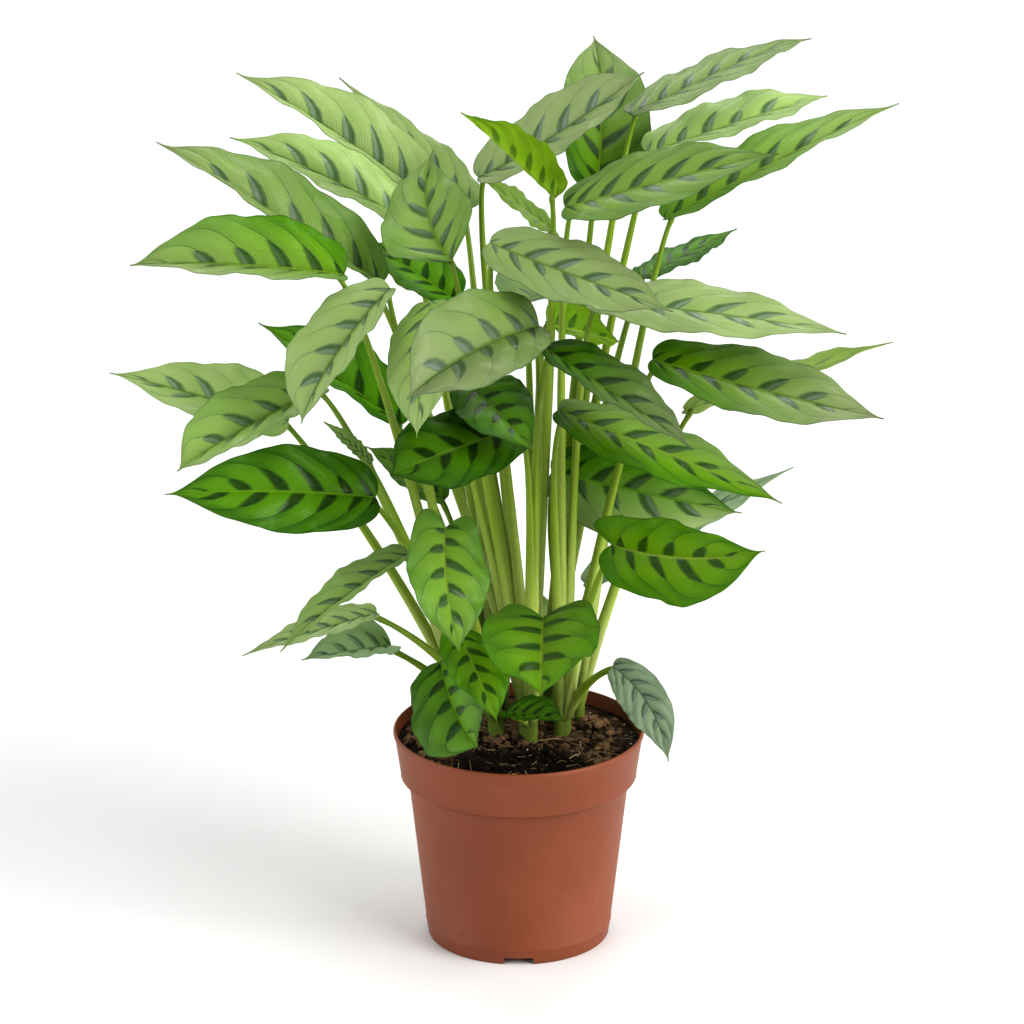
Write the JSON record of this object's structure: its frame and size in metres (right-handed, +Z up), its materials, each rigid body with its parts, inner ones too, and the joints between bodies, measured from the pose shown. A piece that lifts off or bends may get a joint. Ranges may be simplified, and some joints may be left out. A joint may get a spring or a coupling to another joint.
{
  "type": "potted calathea",
  "caption": "Bushy calathea with feather-patterned leaf blades on fanned stalks, planted in soil in a tapered round plastic nursery pot.",
  "frame": {"origin": "on the ground plane, on the pot's axis, at the middle of the flat disc under its floor", "axes": "+Z up along the pot's axis and the plant's tallest extent, -Y towards the viewer, +X to the viewer's right"},
  "size_m": [0.5263, 0.356, 0.5991],
  "materials": {
    "pot_plastic": "moulded terracotta-coloured plastic, matt with a slight sheen",
    "soil_peat": "damp dark peat mix with fibres and white perlite",
    "stalk_green": "pale yellow-green stalks, sheathed and slightly shiny",
    "leaf_fresh": "glossy light green with dark green feather blotches along the midrib",
    "leaf_deep": "glossy deep green with darker feather blotches along the midrib",
    "leaf_pale": "light green with a grey sheen and soft feather blotches"
  },
  "bodies": {
    "root": {"pot": "pot_plastic", "soil": "soil_peat", "shoot_front_left": "stalk_green", "shoot_left": "stalk_green", "shoot_rear_left": "stalk_green", "shoot_front": "stalk_green", "shoot_centre": "stalk_green", "shoot_front_right": "stalk_green", "shoot_right": "stalk_green", "shoot_rear_right": "stalk_green", "leaf_left_top_long": "leaf_fresh", "leaf_left_top_rear": "leaf_fresh", "leaf_left_upper_long": "leaf_fresh", "leaf_left_upper_rear": "leaf_fresh", "leaf_left_upper_front": "leaf_fresh", "leaf_left_upright": "leaf_fresh", "leaf_left_inner": "leaf_deep", "leaf_left_hanging": "leaf_pale", "leaf_left_middle_rear": "leaf_deep", "leaf_left_middle_far": "leaf_pale", "leaf_left_middle_near": "leaf_fresh", "leaf_left_broad": "leaf_deep", "leaf_left_young": "leaf_fresh", "leaf_left_small_inner": "leaf_fresh", "leaf_left_low_long": "leaf_fresh", "leaf_left_low_slim": "leaf_pale", "leaf_left_low_pale": "leaf_pale", "leaf_centre_glossy": "leaf_pale", "leaf_centre_left": "leaf_pale", "leaf_centre_forward": "leaf_deep", "leaf_centre_dark": "leaf_deep", "leaf_front_hanging": "leaf_fresh", "leaf_front_lower": "leaf_fresh", "leaf_front_heart": "leaf_fresh", "leaf_front_rim_left": "leaf_deep", "leaf_front_curled": "leaf_deep", "leaf_front_rim_right": "leaf_pale", "leaf_right_bright": "leaf_fresh", "leaf_right_dark": "leaf_deep", "leaf_right_low_rear": "leaf_pale", "leaf_right_middle_near": "leaf_fresh", "leaf_right_hanging": "leaf_deep", "leaf_right_middle_far": "leaf_fresh", "leaf_right_middle_rear": "leaf_pale", "leaf_centre_right_broad": "leaf_pale", "leaf_right_upper_long": "leaf_fresh", "leaf_centre_inner": "leaf_fresh", "leaf_right_upper_small": "leaf_deep", "leaf_right_top_near": "leaf_fresh", "leaf_right_top_long": "leaf_fresh", "leaf_right_top_middle": "leaf_fresh", "leaf_right_top_high": "leaf_fresh", "leaf_top_pale": "leaf_pale", "leaf_top_folded": "leaf_fresh", "leaf_top_tall": "leaf_fresh", "leaf_top_rear_small": "leaf_pale", "leaf_back_left": "leaf_fresh", "leaf_back_upper": "leaf_fresh", "leaf_back_right": "leaf_fresh", "leaf_back_low": "leaf_fresh"}
  },
  "joints": []
}
